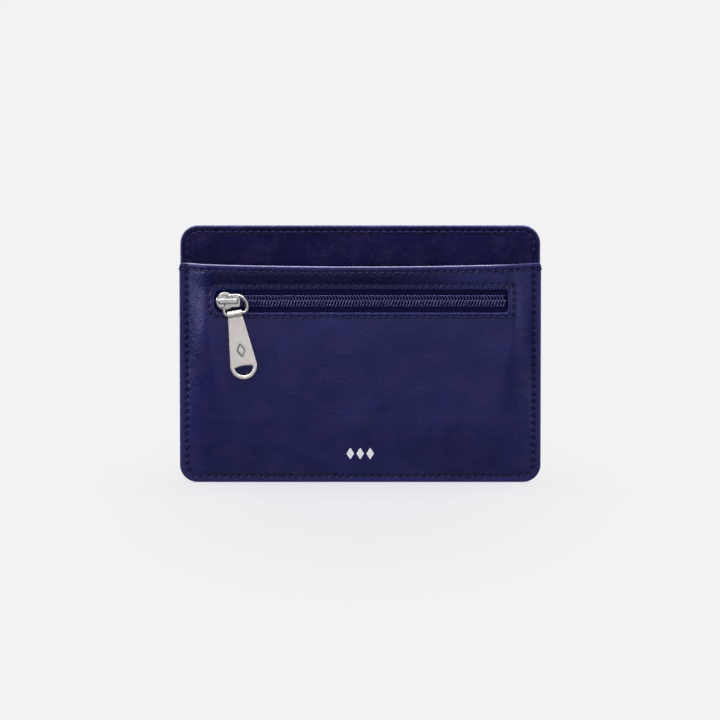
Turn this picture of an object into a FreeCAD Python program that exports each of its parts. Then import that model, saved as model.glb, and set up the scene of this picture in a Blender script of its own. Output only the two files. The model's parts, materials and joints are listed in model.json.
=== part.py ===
import FreeCAD, Part
import math
import os

# Slim leather passport holder with a zipped front pocket, in millimetres.
# +X is to the right and +Z is up when the zip faces the viewer; +Y points away, to the back.
# The origin is under the middle of the whole holder, on the plane it stands on.

# ---- Outline ------------------------------------------------------------------------
WIDTH = 142.0
HEIGHT = 101.0
CORNER_RADIUS = 7.0
EDGE_STEP = 0.3              # the back panel is this much narrower at each side
BACK_EDGE_ROUND = 0.7
HEM_SIDE = 86.4              # height of the front pocket's top edge at the side seams
HEM_MIDDLE = 85.2            # and in the middle, where it sags
HEM_TURN = 4.0               # leather turned in behind the top edge
LINING_DROP = 1.2            # from the top edge down to the pocket's lining
BAG_DROP = 3.0               # and down to the zipped pocket's rear lining
BOARD_INSET = 6.2            # from the holder's edge to the stiffener
BOARD_GAP = 0.2

# ---- Sheets, all measured forward from the pocket's rear wall ---------------------------
CLEAR = 0.06                 # between sheets that lie on each other
LEATHER = 1.1
FACING = 0.9
BOARD = 0.6
POCKET_LINING = 0.4
BAG_LINING = 0.22
TAPE = 0.42

POCKET_LINING_BACK = CLEAR
REAR_BAG_BACK = POCKET_LINING_BACK + POCKET_LINING + CLEAR
TAPE_BACK = REAR_BAG_BACK + BAG_LINING + CLEAR
PANEL_BACK = TAPE_BACK + TAPE + CLEAR
PANEL_FRONT = PANEL_BACK + LEATHER
BACK_DEPTH = FACING + CLEAR + BOARD + LEATHER

# ---- Bulge of the open pocket ---------------------------------------------------------
SEAM = 3.0                   # flat border held by the seam
SIDE_SHOULDER = 10.0         # over which the sheets rise from the side seams
BOTTOM_SHOULDER = 14.0       # and from the bottom seam
INNER_RISE = 4.8             # room for the passport
OUTER_RISE = 6.2             # the zipped pocket's slack adds the rest
GRID_STEP = 2.5              # spacing of the points that the curved sheets pass through

# ---- Seams -------------------------------------------------------------------------------
SEAM_INSET = 2.6             # stitch line inside the edge
STITCH_PITCH = 2.9
STITCH_LENGTH = 2.3
THREAD_RADIUS = 0.28
THREAD_CLEAR = 0.06
GROOVE_WIDTH = 1.2
FRONT_GROOVE = 0.46
BACK_GROOVE = 0.66
SEAM_BREAK = 0.5             # the outer seam steps down from the hem to the facing here
HEM_SEAM_DROP = 2.4
WINDOW_SEAM_ENDS = 2.4       # stitch line around the zip's window, from its ends
WINDOW_SEAM_SIDES = 1.7      # and from its long edges

# ---- Zip -----------------------------------------------------------------------------------
ZIP_Z = 71.7
WINDOW_LEFT = -56.9
WINDOW_RIGHT = 57.7
WINDOW_HEIGHT = 9.0
WINDOW_RADIUS = 2.0
TAPE_HALF_LENGTH = 62.0
TAPE_INNER = 1.6             # from the zip's centre line to each tape's inner edge
TAPE_OUTER = 9.3
TAPE_ROUND = 0.3
COIL_PITCH = 1.19
COIL_RADIUS = 0.46
COIL_LEAN = 0.42             # how far a turn leans along the zip
COIL_OUTER = 2.35
COIL_INNER = 0.5
COIL_START = -53.2
COIL_END = 57.4
STOP_START = 58.4
STOP_LENGTH = 2.0
STOP_WIDTH = 3.4
STOP_THICKNESS = 0.6
STOP_ROUND = 0.4

# ---- Slider, ring and pull tab ---------------------------------------------------------------
HEAD_X = -52.9
HEAD_RADIUS = 3.5
TAIL_END = -46.8
TAIL_HALF = 2.45
TAIL_ROUND = 0.8
SHOULDER_HALF = 2.9              # half width where the tail's flanks leave the head
PLATE = 0.8
PLATE_CLEAR = 0.12
FLANGE_INNER = 2.75
WEDGE_START = -55.9
WEDGE_END = -53.5
WEDGE_HALF = 1.2
WEDGE_ROUND = 0.3
CROWN_LEFT = -55.5
CROWN_RIGHT = -47.7
CROWN_WIDTH = 2.1
CROWN_POST = 1.0
CROWN_THICKNESS = 0.9
TUNNEL = 1.7
RING_WIRE_RADIUS = 0.65
RING_CROSSING = (-52.4, 71.8)    # where the ring's wire passes under the crown
RING_LEAN = 58.0                 # degrees from +X to the wire there
RING_UPPER = 2.6                 # reach of that straight stretch, up
RING_LOWER = 2.3                 # and down
RING_BAR_LEFT = 3.9              # reach of the ring's straight bar from the pull's middle
RING_BAR_RIGHT = 4.8
RING_BOW = 4.2                   # radius of the ring's wide bend
RING_BAR_BEND = 1.2
RING_CROWN_BEND = 1.4
PULL_TOP = (-49.0, 66.8)         # middle of the ring's straight bar
PULL_LEAN = 9.5                  # degrees that the pull tab hangs off the vertical
TAB_LENGTH = 26.0
TAB_TOP_HALF = 2.8
TAB_END_RADIUS = 5.3
TAB_THICKNESS = 1.1
TAB_SET_BACK = 0.25              # from the bar's axis to the tab's front face
ROLL_RADIUS = 1.4
ROLL_BORE = 0.75
TAB_HOLE_RADIUS = 3.85
TAB_HOLE_TOP = 0.45              # flat side of the D hole, below the end arc's centre
TAB_BEVEL = 0.25

# ---- Foil mark ------------------------------------------------------------------------------
MARK_Z = 11.5
MARK_PITCH = 3.9
MARK_HALF_WIDTH = 1.5
MARK_HALF_HEIGHT = 2.4
MARK_ROUND = 0.1
FOIL = 0.06
FOIL_GAP = 0.01

# The slider's crown is the foremost point, so the rear wall is placed to centre the whole in Y.
TAPE_FRONT = TAPE_BACK + TAPE + OUTER_RISE
SLIDER_FRONT = PANEL_FRONT + OUTER_RISE + PLATE_CLEAR + PLATE
CROWN_FRONT = SLIDER_FRONT + TUNNEL + CROWN_THICKNESS
REAR_WALL_Y = (CROWN_FRONT - BACK_DEPTH) / 2.0
RING_Y = REAR_WALL_Y - SLIDER_FRONT - TUNNEL / 2.0
REACH = (REAR_WALL_Y - 2.0 * CROWN_FRONT, REAR_WALL_Y + CROWN_FRONT)   # past every sheet in Y


def point(x, z, y=0.0):
    return FreeCAD.Vector(x, y, z)


def line(start, end):
    return Part.LineSegment(start, end).toShape()


def arc(start, middle, end):
    return Part.Arc(start, middle, end).toShape()


def rounded_wire(corners, y=0.0):
    """Closed wire in an XZ plane through (x, z, radius) corners, each rounded by a tangent arc."""
    places = [point(x, z, y) for x, z, _ in corners]
    bends = []
    for index, here in enumerate(places):
        radius = corners[index][2]
        back = (places[index - 1] - here).normalize()
        ahead = (places[(index + 1) % len(places)] - here).normalize()
        half_angle = back.getAngle(ahead) / 2.0
        reach = radius / math.tan(half_angle)
        inward = (back + ahead).normalize()
        middle = here + inward * (radius / math.sin(half_angle) - radius)
        bends.append((here + back * reach, middle, here + ahead * reach))
    edges = []
    for index, (start, middle, end) in enumerate(bends):
        if corners[index][2] > 0:
            edges.append(arc(start, middle, end))
        edges.append(line(end, bends[(index + 1) % len(bends)][0]))
    return Part.Wire(edges)


def rectangle(left, right, bottom, top, radius):
    return rounded_wire(
        [(left, bottom, radius), (right, bottom, radius), (right, top, radius), (left, top, radius)]
    )


def prism(wire, front, back):
    """Solid over a wire of the XZ plane, from Y = front to Y = back."""
    face = Part.Face(wire)
    face.translate(FreeCAD.Vector(0, front, 0))
    return face.extrude(FreeCAD.Vector(0, back - front, 0))


def ease(t):
    t = min(max(t, 0.0), 1.0)
    return t * t * (3.0 - 2.0 * t)


def bulge(x, z):
    """0 on the seams, 1 over the open pocket."""
    side = ease((WIDTH / 2.0 - SEAM - abs(x)) / SIDE_SHOULDER)
    bottom = ease((z - SEAM) / BOTTOM_SHOULDER)
    return side * bottom


def sheet(back, thickness, rise):
    """Curved sheet over the whole holder, to be cut to an outline. Its back face lies `back`
    in front of the pocket's rear wall at the seams and `rise` further forward on the bulge."""
    across = int(WIDTH / GRID_STEP) + 2
    up = int(HEIGHT / GRID_STEP) + 2
    rows = []
    for i in range(across + 1):
        x = (i - across / 2.0) * GRID_STEP
        heights = [(j - 1) * GRID_STEP for j in range(up + 1)]
        rows.append([point(x, z, REAR_WALL_Y - back - rise * bulge(x, z)) for z in heights])
    surface = Part.BSplineSurface()
    surface.interpolate(rows)
    return surface.toShape().extrude(FreeCAD.Vector(0, -thickness, 0))


def through(wire):
    """Prism that passes through every sheet."""
    return prism(wire, *REACH)


def hem_arc(half_width, drop):
    """Top edge of the front pocket, lowered by drop, from left to right."""
    side = HEM_SIDE - drop
    return arc(point(-half_width, side), point(0, HEM_MIDDLE - drop), point(half_width, side))


def pocket_wire(inset, top_drop):
    """Outline of the front pocket, set in from its sides and bottom."""
    half = WIDTH / 2.0 - inset
    radius = CORNER_RADIUS - inset
    side = HEM_SIDE - top_drop
    corner = radius * (1.0 - math.sqrt(0.5))
    return Part.Wire([
        hem_arc(half, top_drop),
        line(point(half, side), point(half, inset + radius)),
        arc(point(half, inset + radius), point(half - corner, inset + corner),
            point(half - radius, inset)),
        line(point(half - radius, inset), point(radius - half, inset)),
        arc(point(radius - half, inset), point(corner - half, inset + corner),
            point(-half, inset + radius)),
        line(point(-half, inset + radius), point(-half, side)),
    ])


def holder_wire(inset):
    half = WIDTH / 2.0 - EDGE_STEP - inset
    return rectangle(-half, half, inset, HEIGHT - inset, CORNER_RADIUS - inset)


def groove_band(path_at, front, back):
    """Band between two Y planes, along the stitch line. path_at(shift) gives the line moved
    outward by shift."""
    half = GROOVE_WIDTH / 2.0
    return prism(path_at(half), front, back).cut(prism(path_at(-half), front, back))


def seam_line(shift=0.0):
    """Stitch line of the outer seam on the front pocket, run on past its top edge."""
    return pocket_wire(SEAM_INSET - shift, -CORNER_RADIUS)


def back_seam_line(shift=0.0):
    return holder_wire(SEAM_INSET - shift)


def window_wire(end_margin, side_margin):
    """Outline of the zip's window, moved outward by a margin at its ends and its long edges."""
    half = WINDOW_HEIGHT / 2.0 + side_margin
    left, right = WINDOW_LEFT - end_margin, WINDOW_RIGHT + end_margin
    return rectangle(left, right, ZIP_Z - half, ZIP_Z + half, WINDOW_RADIUS + side_margin / 2.0)


def window_seam_line(shift=0.0):
    return window_wire(WINDOW_SEAM_ENDS + shift, WINDOW_SEAM_SIDES + shift)


# ---- Leather, board and linings ----------------------------------------------------------------

def back_cover():
    """Outer leather of the back, turned in around the stiffener, grooved for its stitches."""
    front = REAR_WALL_Y + FACING + CLEAR
    back = REAR_WALL_Y + BACK_DEPTH
    cover = prism(holder_wire(0.0), front, back)
    rear_edges = [e for e in cover.Edges if e.BoundBox.YMin > back - CLEAR]
    cover = cover.makeFillet(BACK_EDGE_ROUND, rear_edges)
    cover = cover.cut(prism(holder_wire(BOARD_INSET - BOARD_GAP), front, front + BOARD))
    return cover.cut(groove_band(back_seam_line, back - BACK_GROOVE, back))


def stiffener_board():
    front = REAR_WALL_Y + FACING + CLEAR
    return prism(holder_wire(BOARD_INSET), front, front + BOARD - CLEAR)


def back_facing():
    """Inner leather of the back, seen above the pocket's hem."""
    facing = prism(holder_wire(0.0), REAR_WALL_Y, REAR_WALL_Y + FACING)
    groove = groove_band(back_seam_line, REAR_WALL_Y, REAR_WALL_Y + FRONT_GROOVE)
    above_hem = Part.makeBox(
        WIDTH, FACING, HEIGHT, FreeCAD.Vector(-WIDTH / 2.0, REAR_WALL_Y, HEM_SIDE + CLEAR)
    )
    return facing.cut(groove.common(above_hem))


def pocket_lining():
    """Lining of the pocket's front wall, facing the passport."""
    block = sheet(POCKET_LINING_BACK, POCKET_LINING, INNER_RISE)
    return block.common(through(pocket_wire(EDGE_STEP, LINING_DROP)))


def zip_pocket_rear_lining():
    block = sheet(REAR_BAG_BACK, BAG_LINING, INNER_RISE)
    return block.common(through(pocket_wire(EDGE_STEP, BAG_DROP)))


def zip_pocket_front_lining():
    """Hangs from the lower tape, down to the bottom seam."""
    block = sheet(TAPE_BACK, BAG_LINING, OUTER_RISE).common(through(pocket_wire(EDGE_STEP, 0.0)))
    below_tape = rectangle(-WIDTH / 2.0, WIDTH / 2.0, 0.0, ZIP_Z - TAPE_OUTER - CLEAR, 0.0)
    return block.common(through(below_tape))


def front_panel():
    """Bulged leather with its hem turned in, the zip's window and a groove for the seam."""
    skin = sheet(PANEL_BACK, LEATHER, OUTER_RISE).common(through(pocket_wire(0.0, 0.0)))
    turned = sheet(TAPE_BACK + CLEAR, TAPE + LEATHER, OUTER_RISE)
    turned = turned.common(through(pocket_wire(0.0, 0.0)))
    turned = turned.cut(through(pocket_wire(-CORNER_RADIUS, HEM_TURN)))
    panel = skin.fuse(turned).cut(through(window_wire(0.0, 0.0)))
    depth = sheet(PANEL_FRONT - FRONT_GROOVE, 2.0 * FRONT_GROOVE, OUTER_RISE)
    for path_at in (seam_line, window_seam_line):
        panel = panel.cut(groove_band(path_at, *REACH).common(depth))
    hem = through(pocket_wire(SEAM_INSET + 2.0 * GROOVE_WIDTH, HEM_SEAM_DROP - GROOVE_WIDTH / 2.0))
    hem = hem.cut(through(pocket_wire(-CORNER_RADIUS, HEM_SEAM_DROP + GROOVE_WIDTH / 2.0)))
    return panel.cut(hem.common(depth))


# ---- Zip -------------------------------------------------------------------------------------------

def stop_wire(side, gap=0.0):
    """Outline of the clamp at one end of the zip, made smaller by gap all round."""
    near = side * (STOP_START + gap)
    far = side * (STOP_START + STOP_LENGTH - gap)
    half = STOP_WIDTH / 2.0 - gap
    return rectangle(min(near, far), max(near, far), ZIP_Z - half, ZIP_Z + half, STOP_ROUND)


def zip_tape(side):
    """Woven tape above (side 1) or below (side -1) the zip's centre line."""
    inner = ZIP_Z + side * TAPE_INNER
    outer = ZIP_Z + side * TAPE_OUTER
    low, high = min(inner, outer), max(inner, outer)
    wire = rectangle(-TAPE_HALF_LENGTH, TAPE_HALF_LENGTH, low, high, TAPE_ROUND)
    tape = sheet(TAPE_BACK, TAPE, OUTER_RISE).common(through(wire))
    for end in (-1, 1):
        tape = tape.cut(through(stop_wire(end)))
    return tape


def zip_stop(side):
    """Metal clamp across both tapes, just outside the window."""
    block = sheet(TAPE_BACK + TAPE - STOP_THICKNESS, STOP_THICKNESS, OUTER_RISE)
    return block.common(through(stop_wire(side, CLEAR)))


def zip_coil(side):
    """Turns of the nylon coil on one tape, each a short leaning strand."""
    y = REAR_WALL_Y - TAPE_FRONT - CLEAR - COIL_RADIUS
    turns = []
    count = int((COIL_END - COIL_START - 2.0 * COIL_RADIUS - COIL_LEAN) / COIL_PITCH)
    for index in range(count + 1):
        x = COIL_START + COIL_RADIUS + index * COIL_PITCH
        inner = FreeCAD.Vector(x + COIL_LEAN, y, ZIP_Z + side * COIL_INNER)
        outer = FreeCAD.Vector(x, y, ZIP_Z + side * COIL_OUTER)
        run = outer - inner
        turns.append(Part.makeCylinder(COIL_RADIUS, run.Length, inner, run))
    return Part.makeCompound(turns)


# ---- Slider and pull ------------------------------------------------------------------------------

def slider_outline():
    """Round head, then straight flanks to the narrower tail."""
    head = Part.makeCylinder(HEAD_RADIUS, PLATE, FreeCAD.Vector(HEAD_X, 0, ZIP_Z),
                             FreeCAD.Vector(0, 1, 0))
    tail = prism(rounded_wire([
        (HEAD_X, ZIP_Z - SHOULDER_HALF, 0.0), (TAIL_END, ZIP_Z - TAIL_HALF, TAIL_ROUND),
        (TAIL_END, ZIP_Z + TAIL_HALF, TAIL_ROUND), (HEAD_X, ZIP_Z + SHOULDER_HALF, 0.0),
    ]), 0.0, PLATE)
    return head.fuse(tail).removeSplitter()


def slider_body():
    """Front and rear plates joined by the wedge that parts the coils, with side flanges."""
    front_y = REAR_WALL_Y - SLIDER_FRONT
    rear_y = REAR_WALL_Y - TAPE_BACK - OUTER_RISE + PLATE_CLEAR
    front_plate = slider_outline()
    front_plate.translate(FreeCAD.Vector(0, front_y, 0))
    rear_plate = slider_outline()
    rear_plate.translate(FreeCAD.Vector(0, rear_y, 0))
    wedge_x = (WEDGE_START + WEDGE_END) / 2.0
    wedge = prism(rounded_wire([
        (WEDGE_START, ZIP_Z, WEDGE_ROUND), (wedge_x, ZIP_Z - WEDGE_HALF, WEDGE_ROUND),
        (WEDGE_END, ZIP_Z, WEDGE_ROUND), (wedge_x, ZIP_Z + WEDGE_HALF, WEDGE_ROUND),
    ]), front_y + PLATE / 2.0, rear_y + PLATE / 2.0)
    flange_end = REAR_WALL_Y - TAPE_FRONT - PLATE_CLEAR
    head = Part.makeCylinder(HEAD_RADIUS, flange_end - front_y, FreeCAD.Vector(HEAD_X, front_y, ZIP_Z),
                             FreeCAD.Vector(0, 1, 0))
    channel_y = front_y + PLATE
    channel = Part.makeBox(4.0 * HEAD_RADIUS, flange_end - channel_y, 2.0 * FLANGE_INNER,
                           FreeCAD.Vector(HEAD_X - 2.0 * HEAD_RADIUS, channel_y, ZIP_Z - FLANGE_INNER))
    flanges = head.cut(channel)
    return front_plate.fuse([rear_plate, wedge, flanges]).removeSplitter()


def slider_crown():
    """Arch over the slider's front plate. The ring runs in the tunnel under it."""
    base = REAR_WALL_Y - SLIDER_FRONT
    top = REAR_WALL_Y - CROWN_FRONT
    length = CROWN_RIGHT - CROWN_LEFT
    half = CROWN_WIDTH / 2.0
    arch = Part.makeBox(length, base - top, CROWN_WIDTH, FreeCAD.Vector(CROWN_LEFT, top, ZIP_Z - half))
    ends = [e for e in arch.Edges if e.BoundBox.YMax < top + CLEAR and e.BoundBox.XLength < CLEAR]
    arch = arch.makeFillet(CROWN_THICKNESS, ends)
    tunnel = Part.makeBox(length - 2.0 * CROWN_POST, TUNNEL, CROWN_WIDTH,
                          FreeCAD.Vector(CROWN_LEFT + CROWN_POST, base - TUNNEL, ZIP_Z - half))
    return arch.cut(tunnel)


def ring_path():
    """Centre line of the pull ring: straight under the crown, straight in the tab's roll."""
    lean = math.radians(RING_LEAN)
    tilt = math.tan(math.radians(PULL_LEAN))
    cross_x, cross_z = RING_CROSSING
    bar_x, bar_z = PULL_TOP
    left, right = bar_x - RING_BAR_LEFT, bar_x + RING_BAR_RIGHT
    top = cross_z + RING_UPPER * math.sin(lean)
    return rounded_wire([
        (left, bar_z + (left - bar_x) * tilt, RING_BAR_BEND),
        (right, bar_z + (right - bar_x) * tilt, RING_BAR_BEND),
        (right, top, RING_BOW),
        (cross_x + RING_UPPER * math.cos(lean), top, RING_CROWN_BEND),
        (cross_x - RING_LOWER * math.cos(lean), cross_z - RING_LOWER * math.sin(lean), RING_CROWN_BEND),
    ], RING_Y)


def pull_ring():
    path = ring_path()
    first = path.Edges[1]
    start = first.valueAt(first.FirstParameter)
    along = first.tangentAt(first.FirstParameter)
    ordered = Part.Wire(list(path.Edges[1:]) + [path.Edges[0]])
    section = Part.Wire(Part.Circle(start, along, RING_WIRE_RADIUS).toShape())
    return ordered.makePipeShell([section], True, False)


def hang(shape):
    """Turn a piece drawn hanging straight down from the origin to hang from the ring's bar."""
    shape.rotate(FreeCAD.Vector(0, 0, 0), FreeCAD.Vector(0, 1, 0), -PULL_LEAN)
    shape.translate(FreeCAD.Vector(PULL_TOP[0], RING_Y, PULL_TOP[1]))
    return shape


def pull_tab():
    """Flared plate rolled around the ring's bar, with a D hole near its round end."""
    centre = TAB_END_RADIUS - TAB_LENGTH
    away = math.hypot(TAB_TOP_HALF, centre)
    tangent = math.atan2(-centre, TAB_TOP_HALF) - math.acos(TAB_END_RADIUS / away)
    side_x = TAB_END_RADIUS * math.cos(tangent)
    side_z = centre + TAB_END_RADIUS * math.sin(tangent)
    outline = Part.Wire([
        line(point(-side_x, side_z), point(-TAB_TOP_HALF, 0)),
        line(point(-TAB_TOP_HALF, 0), point(TAB_TOP_HALF, 0)),
        line(point(TAB_TOP_HALF, 0), point(side_x, side_z)),
        arc(point(side_x, side_z), point(0, -TAB_LENGTH), point(-side_x, side_z)),
    ])
    plate = prism(outline, TAB_SET_BACK, TAB_SET_BACK + TAB_THICKNESS)
    front_edges = [e for e in plate.Edges if e.BoundBox.YMax < TAB_SET_BACK + CLEAR]
    rim = [e for e in front_edges if e.BoundBox.ZMin < -ROLL_RADIUS]
    plate = plate.makeChamfer(TAB_BEVEL, rim)
    flat = centre - TAB_HOLE_TOP
    half = math.sqrt(TAB_HOLE_RADIUS ** 2 - TAB_HOLE_TOP ** 2)
    hole = Part.Wire([
        line(point(-half, flat), point(half, flat)),
        arc(point(half, flat), point(0, centre - TAB_HOLE_RADIUS), point(-half, flat)),
    ])
    across = FreeCAD.Vector(1, 0, 0)
    roll_end = FreeCAD.Vector(-TAB_TOP_HALF, 0, 0)
    roll = Part.makeCylinder(ROLL_RADIUS, 2.0 * TAB_TOP_HALF, roll_end, across)
    bore = Part.makeCylinder(ROLL_BORE, 2.0 * TAB_TOP_HALF, roll_end, across)
    tab = plate.cut(prism(hole, 0.0, 2.0 * TAB_THICKNESS)).fuse(roll).cut(bore)
    return hang(tab.removeSplitter())


# ---- Thread and foil --------------------------------------------------------------------------------

def groove_floor_y(x, z):
    """Floor of the stitch grooves in the front panel."""
    return REAR_WALL_Y - PANEL_FRONT + FRONT_GROOVE - OUTER_RISE * bulge(x, z)


def stitch_row(path, depth_at, lift):
    """Separate stitches along a wire. depth_at gives the Y of the groove's floor, and lift is the
    way out of the groove, 1 or -1 along Y."""
    count = round(path.Length / STITCH_PITCH)
    places = path.discretize(count + 1)
    filled = STITCH_LENGTH / STITCH_PITCH
    row = []
    for start, end in zip(places, places[1:]):
        start.y = depth_at(start.x, start.z)
        end.y = depth_at(end.x, end.z)
        middle = (start + end) * 0.5
        sag = abs(middle.y - depth_at(middle.x, middle.z))
        run = end - start
        steep = run.Length / math.hypot(run.x, run.z)
        off = lift * (THREAD_RADIUS * steep + THREAD_CLEAR + sag)
        first = start + run * ((1.0 - filled) / 2.0)
        first.y += off
        row.append(Part.makeCylinder(THREAD_RADIUS, run.Length * filled, first, run))
    return row


def open_path(wire, keep_above, keep_below):
    """The part of a wire between two heights, as one or more wires."""
    window = Part.makeBox(2.0 * WIDTH, 1.0, keep_below - keep_above,
                          FreeCAD.Vector(-WIDTH, -0.5, keep_above))
    return [Part.Wire(group) for group in Part.sortEdges(wire.common(window).Edges)]


def thread_front_seam():
    """Stitches of the outer seam, on the front panel and on the back's facing above the hem."""
    stitches = []
    for path in open_path(seam_line(), 0.0, HEM_SIDE - SEAM_BREAK):
        stitches += stitch_row(path, groove_floor_y, -1.0)
    for path in open_path(back_seam_line(), HEM_SIDE + SEAM_BREAK, HEIGHT):
        stitches += stitch_row(path, lambda x, z: REAR_WALL_Y + FRONT_GROOVE, -1.0)
    return Part.makeCompound(stitches)


def thread_back_seam():
    floor = REAR_WALL_Y + BACK_DEPTH - BACK_GROOVE
    return Part.makeCompound(stitch_row(back_seam_line(), lambda x, z: floor, 1.0))


def thread_hem():
    """Stitches under the front pocket's top edge, between the side seams."""
    path = Part.Wire([hem_arc(WIDTH / 2.0 - SEAM_INSET - 3.0 * GROOVE_WIDTH, HEM_SEAM_DROP)])
    return Part.makeCompound(stitch_row(path, groove_floor_y, -1.0))


def thread_zip_window():
    return Part.makeCompound(stitch_row(window_seam_line(), groove_floor_y, -1.0))


def foil_mark():
    """Three plain lozenges pressed on the lower front."""
    block = sheet(PANEL_FRONT + FOIL_GAP, FOIL, OUTER_RISE)
    lozenges = []
    for place in (-1, 0, 1):
        x = place * MARK_PITCH
        wire = rounded_wire([
            (x - MARK_HALF_WIDTH, MARK_Z, MARK_ROUND), (x, MARK_Z - MARK_HALF_HEIGHT, MARK_ROUND),
            (x + MARK_HALF_WIDTH, MARK_Z, MARK_ROUND), (x, MARK_Z + MARK_HALF_HEIGHT, MARK_ROUND),
        ])
        lozenges.append(block.common(through(wire)))
    return Part.makeCompound(lozenges)


PARTS = {
    "back_cover": back_cover,
    "stiffener_board": stiffener_board,
    "back_facing": back_facing,
    "pocket_lining": pocket_lining,
    "zip_pocket_rear_lining": zip_pocket_rear_lining,
    "zip_pocket_front_lining": zip_pocket_front_lining,
    "front_panel": front_panel,
    "zip_tape_upper": lambda: zip_tape(1),
    "zip_tape_lower": lambda: zip_tape(-1),
    "zip_coil_upper": lambda: zip_coil(1),
    "zip_coil_lower": lambda: zip_coil(-1),
    "zip_stop_closed_end": lambda: zip_stop(-1),
    "zip_stop_open_end": lambda: zip_stop(1),
    "slider_body": slider_body,
    "slider_crown": slider_crown,
    "pull_ring": pull_ring,
    "pull_tab": pull_tab,
    "thread_front_seam": thread_front_seam,
    "thread_back_seam": thread_back_seam,
    "thread_hem": thread_hem,
    "thread_zip_window": thread_zip_window,
    "foil_mark": foil_mark,
}


def main():
    os.makedirs("parts", exist_ok=True)
    for name, make in PARTS.items():
        shape = make()
        shape.exportStep(os.path.join("parts", name + ".step"))
        print(name, len(shape.Solids), "solids", round(shape.Volume, 2), "mm3", shape.isValid())


main()
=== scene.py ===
import json
import math

import bpy
import numpy as np
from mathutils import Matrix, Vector
from mathutils.geometry import delaunay_2d_cdt


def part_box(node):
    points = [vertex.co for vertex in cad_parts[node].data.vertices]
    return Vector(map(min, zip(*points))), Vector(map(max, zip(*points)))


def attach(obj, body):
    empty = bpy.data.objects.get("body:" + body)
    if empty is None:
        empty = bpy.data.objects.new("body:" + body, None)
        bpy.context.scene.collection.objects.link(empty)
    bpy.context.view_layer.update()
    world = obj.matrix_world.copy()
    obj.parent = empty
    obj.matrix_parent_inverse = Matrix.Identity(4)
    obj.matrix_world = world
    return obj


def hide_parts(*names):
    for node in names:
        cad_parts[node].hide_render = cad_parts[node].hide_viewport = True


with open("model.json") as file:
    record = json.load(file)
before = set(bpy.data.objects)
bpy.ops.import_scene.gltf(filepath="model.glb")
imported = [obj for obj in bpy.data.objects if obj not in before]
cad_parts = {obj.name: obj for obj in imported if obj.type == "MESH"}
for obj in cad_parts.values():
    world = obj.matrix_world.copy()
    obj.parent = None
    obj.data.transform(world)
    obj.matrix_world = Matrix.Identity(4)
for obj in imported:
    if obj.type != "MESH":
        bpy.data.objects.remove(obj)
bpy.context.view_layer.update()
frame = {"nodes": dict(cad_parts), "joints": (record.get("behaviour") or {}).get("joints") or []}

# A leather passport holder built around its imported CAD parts. Shapes are worked out in
# millimetres, in the frame's axes: X across, Y to the back, Z up. Meshes are stored in metres.
MM = 0.001


def box_mm(node):
    """Lowest and highest corner of a CAD node, in millimetres."""
    low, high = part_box(node)
    return np.array(low) / MM, np.array(high) / MM


PANEL_LOW, PANEL_HIGH = box_mm("front_panel")
FACING_LOW, FACING_HIGH = box_mm("back_facing")
COVER_LOW, COVER_HIGH = box_mm("back_cover")
UPPER_TAPE_LOW = box_mm("zip_tape_upper")[0]
LOWER_TAPE_LOW, LOWER_TAPE_HIGH = box_mm("zip_tape_lower")
WINDOW_THREAD_LOW, WINDOW_THREAD_HIGH = box_mm("thread_zip_window")
SLIDER_LOW, SLIDER_HIGH = box_mm("slider_body")
CROWN_LOW, CROWN_HIGH = box_mm("slider_crown")
FOIL_LOW, FOIL_HIGH = box_mm("foil_mark")
JOINTS = {joint["name"]: joint for joint in frame["joints"]}

# ---- Sizes of the leather body, in millimetres ----
LEATHER = 1.1
TAPE = 0.42
CLEAR = 0.06
CORNER_RADIUS = 7.0
TOP_CORNER_RADIUS = 1.4
OUTER_RISE = 6.2
INNER_RISE = 4.8
SEAM = 3.0
SIDE_SHOULDER = 10.0
BOTTOM_SHOULDER = 14.0
RAMP_SHARE = 0.3                        # straight part of a shoulder's profile
LOW_SHALLOWER = 0.45                    # share of the bulge that is lost below the zip
WAVE_HEIGHT = 0.14
PUCKER_HEIGHT = 0.05
MOUTH_SLACK = 1.1                       # how far the mouth stands forward
HEM_SAG = 1.2
HEM_TURN = 4.0
SEAM_INSET = 2.6
HEM_SEAM_DROP = 2.4
WINDOW_SEAM = np.array([2.4, 1.7])      # beyond the window's ends and its long edges
STITCH_PITCH = 2.9
STITCH_DEPTH = 0.34                     # of a stitch's ends in their holes
THREAD_RADIUS = 0.27
COIL_PITCH = 1.19

HALF_WIDTH = PANEL_HIGH[0]
HEM_Z = PANEL_HIGH[2]
PLATEAU_Y = PANEL_LOW[1]
SEAM_Y = PLATEAU_Y + OUTER_RISE                 # front of the front panel at the seams
REAR_WALL_Y = FACING_LOW[1]
ZIP_Z = (UPPER_TAPE_LOW[2] + LOWER_TAPE_HIGH[2]) / 2.0
TAPE_FRONT_Y = PLATEAU_Y + LEATHER + CLEAR
WINDOW_LOW = WINDOW_THREAD_LOW[[0, 2]] + WINDOW_SEAM + THREAD_RADIUS
WINDOW_HIGH = WINDOW_THREAD_HIGH[[0, 2]] - WINDOW_SEAM - THREAD_RADIUS


# ---- Outlines in the XZ plane ----

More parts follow.
